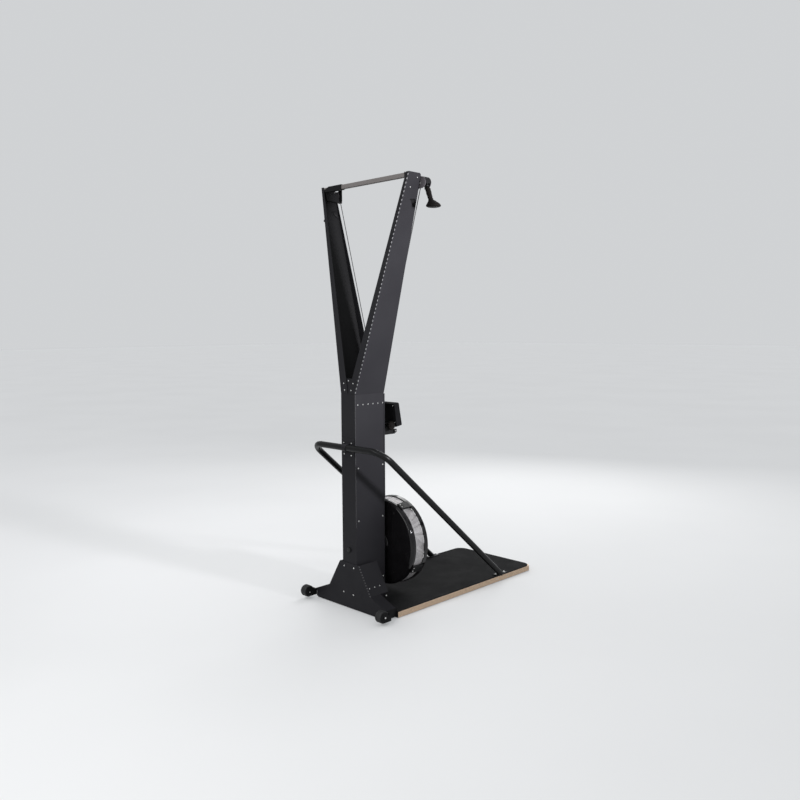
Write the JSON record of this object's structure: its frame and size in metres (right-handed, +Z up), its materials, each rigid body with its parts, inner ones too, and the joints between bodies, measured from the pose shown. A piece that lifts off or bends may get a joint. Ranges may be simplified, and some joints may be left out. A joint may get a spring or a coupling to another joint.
{
  "type": "ski trainer machine",
  "caption": "Freestanding ski training machine: boxed column with splayed arms and cord handles, caged fan flywheel, swivel monitor, wooden standing platform and rear transport wheels",
  "frame": {"origin": "on the floor under the middle of the machine's bounding box", "axes": "+Z up, -Y towards the user who stands on the platform, +Y to the transport wheels, +X to the machine's own left, which is the left arm as seen from behind the machine"},
  "size_m": [0.826, 1.263, 2.158],
  "materials": {
    "black_frame": "fine black powder coat, nearly matte",
    "grey_bar": "dark grey powder coat",
    "plywood": "bare light plywood edge",
    "mat_rubber": "matte black rubber sheet",
    "foot_rubber": "matte black rubber",
    "wheel_rubber": "matte black rubber",
    "gloss_black": "glossy black moulding",
    "black_plastic": "satin black moulding",
    "steel_mesh": "perforated bright sheet",
    "bright_steel": "turned steel",
    "cord_weave": "black braided cord",
    "bungee_rubber": "black elastic cord",
    "screen_face": "dark display window",
    "button_rubber": "grey rubber key"
  },
  "bodies": {
    "frame": {"column_shell": "black_frame", "column_front_cover": "black_frame", "junction_sleeve": "black_frame", "left_arm": "black_frame", "right_arm": "black_frame", "cross_bar": "grey_bar", "platform_board": "plywood", "platform_mat": "mat_rubber", "left_foot_strip": "foot_rubber", "right_foot_strip": "foot_rubber", "base_plate": "black_frame", "base_gusset": "black_frame", "left_wheel_fork": "black_frame", "right_wheel_fork": "black_frame", "brace_tube": "black_frame", "brace_clamp": "black_frame", "fan_rear_dish": "gloss_black", "fan_mesh_band": "steel_mesh", "fan_front_cover": "gloss_black", "fan_clip_1": "black_plastic", "fan_clip_2": "black_plastic", "fan_clip_3": "black_plastic", "fan_clip_4": "black_plastic", "shaft_rear_bearing": "bright_steel", "shaft_front_bearing": "bright_steel", "shaft_end_cap": "black_plastic", "guide_pin": "bright_steel", "left_pulley_bracket": "black_plastic", "right_pulley_bracket": "black_plastic", "left_cord_run": "cord_weave", "right_cord_run": "cord_weave", "left_bungee": "bungee_rubber", "right_bungee": "bungee_rubber", "bungee_anchor": "bright_steel", "monitor_bracket": "black_frame"},
    "left_cord_end": {"left_cord_stop": "black_plastic", "left_cord_drop": "cord_weave"},
    "right_cord_end": {"right_cord_stop": "black_plastic", "right_cord_drop": "cord_weave"},
    "left_handle": {"left_grip": "black_plastic"},
    "right_handle": {"right_grip": "black_plastic"},
    "left_pulley_wheel": {"left_pulley": "black_plastic"},
    "right_pulley_wheel": {"right_pulley": "black_plastic"},
    "left_sheave": {"left_guide_sheave": "black_plastic"},
    "right_sheave": {"right_guide_sheave": "black_plastic"},
    "left_cord_spool": {"left_spool": "black_plastic"},
    "right_cord_spool": {"right_spool": "black_plastic"},
    "fan": {"fan_wheel": "black_plastic", "fan_shaft": "bright_steel"},
    "damper": {"damper_ring": "black_plastic"},
    "monitor": {"monitor_case": "black_plastic", "monitor_screen": "screen_face"},
    "monitor_knob": {"tilt_knob": "black_plastic"},
    "button_1": {"monitor_button_1": "button_rubber"},
    "button_2": {"monitor_button_2": "button_rubber"},
    "button_3": {"monitor_button_3": "button_rubber"},
    "button_4": {"monitor_button_4": "button_rubber"},
    "left_transport_wheel": {"left_wheel": "wheel_rubber"},
    "right_transport_wheel": {"right_wheel": "wheel_rubber"}
  },
  "joints": [
    {"name": "left_pull", "type": "slide", "parent": "frame", "child": "left_cord_end", "axis": [0, 0, -1], "range_m": [0, 1.3], "stiffness_N_per_m": 15, "springref_m": -0.5, "deforming": ["left_cord_drop"]},
    {"name": "right_pull", "type": "slide", "parent": "frame", "child": "right_cord_end", "axis": [0, 0, -1], "range_m": [0, 1.3], "stiffness_N_per_m": 15, "springref_m": -0.5, "deforming": ["right_cord_drop"]},
    {"name": "left_swing", "type": "hinge", "parent": "left_cord_end", "child": "left_handle", "pos_m": [0.337, 0.3305, 2.1005], "axis": [0, 1, 0], "range_deg": [-45, 25]},
    {"name": "right_swing", "type": "hinge", "parent": "right_cord_end", "child": "right_handle", "pos_m": [-0.337, 0.3305, 2.1005], "axis": [0, 1, 0], "range_deg": [-25, 45]},
    {"name": "left_pulley_turn", "type": "hinge", "parent": "frame", "child": "left_pulley_wheel", "pos_m": [0.3185, 0.3305, 2.119], "axis": [0, 1, 0], "continuous": true},
    {"name": "right_pulley_turn", "type": "hinge", "parent": "frame", "child": "right_pulley_wheel", "pos_m": [-0.3185, 0.3305, 2.119], "axis": [0, 1, 0], "continuous": true},
    {"name": "left_sheave_turn", "type": "hinge", "parent": "frame", "child": "left_sheave", "pos_m": [0, 0.345, 1.13], "axis": [0, 1, 0], "continuous": true},
    {"name": "right_sheave_turn", "type": "hinge", "parent": "frame", "child": "right_sheave", "pos_m": [0, 0.3294, 1.13], "axis": [0, 1, 0], "continuous": true},
    {"name": "left_spool_turn", "type": "hinge", "parent": "frame", "child": "left_cord_spool", "pos_m": [0, 0.3411, 0.306], "axis": [0, 1, 0], "continuous": true},
    {"name": "right_spool_turn", "type": "hinge", "parent": "frame", "child": "right_cord_spool", "pos_m": [0, 0.3255, 0.306], "axis": [0, 1, 0], "continuous": true},
    {"name": "fan_spin", "type": "hinge", "parent": "frame", "child": "fan", "pos_m": [0, 0.255, 0.306], "axis": [0, 1, 0], "continuous": true},
    {"name": "damper_turn", "type": "hinge", "parent": "frame", "child": "damper", "pos_m": [0, 0.2053, 0.306], "axis": [0, 1, 0], "range_deg": [0, 15]},
    {"name": "monitor_tilt", "type": "hinge", "parent": "frame", "child": "monitor", "pos_m": [0, 0.2935, 0.92], "axis": [1, 0, 0], "range_deg": [-12, 16]},
    {"name": "tilt_knob_turn", "type": "hinge", "parent": "frame", "child": "monitor_knob", "pos_m": [-0.045, 0.2935, 0.92], "axis": [1, 0, 0], "continuous": true},
    {"name": "button_1_press", "type": "slide", "parent": "monitor", "child": "button_1", "axis": [0, 0.9877, -0.1564], "range_m": [0, 0.0015], "stiffness_N_per_m": 400},
    {"name": "button_2_press", "type": "slide", "parent": "monitor", "child": "button_2", "axis": [0, 0.9877, -0.1564], "range_m": [0, 0.0015], "stiffness_N_per_m": 400},
    {"name": "button_3_press", "type": "slide", "parent": "monitor", "child": "button_3", "axis": [0, 0.9877, -0.1564], "range_m": [0, 0.0015], "stiffness_N_per_m": 400},
    {"name": "button_4_press", "type": "slide", "parent": "monitor", "child": "button_4", "axis": [0, 0.9877, -0.1564], "range_m": [0, 0.0015], "stiffness_N_per_m": 400},
    {"name": "left_wheel_roll", "type": "hinge", "parent": "frame", "child": "left_transport_wheel", "pos_m": [0.2843, 0.6015, 0.042], "axis": [1, 0, 0], "continuous": true},
    {"name": "right_wheel_roll", "type": "hinge", "parent": "frame", "child": "right_transport_wheel", "pos_m": [-0.2843, 0.6015, 0.042], "axis": [1, 0, 0], "continuous": true}
  ],
  "couplings": [
    {"joint": "left_pulley_turn", "follows": "left_pull", "rad_per_m": 54.054},
    {"joint": "right_pulley_turn", "follows": "right_pull", "rad_per_m": -54.054},
    {"joint": "left_sheave_turn", "follows": "left_pull", "rad_per_m": -71.429},
    {"joint": "right_sheave_turn", "follows": "right_pull", "rad_per_m": 71.429},
    {"joint": "left_spool_turn", "follows": "left_pull", "rad_per_m": -55.556},
    {"joint": "right_spool_turn", "follows": "right_pull", "rad_per_m": -55.556}
  ]
}
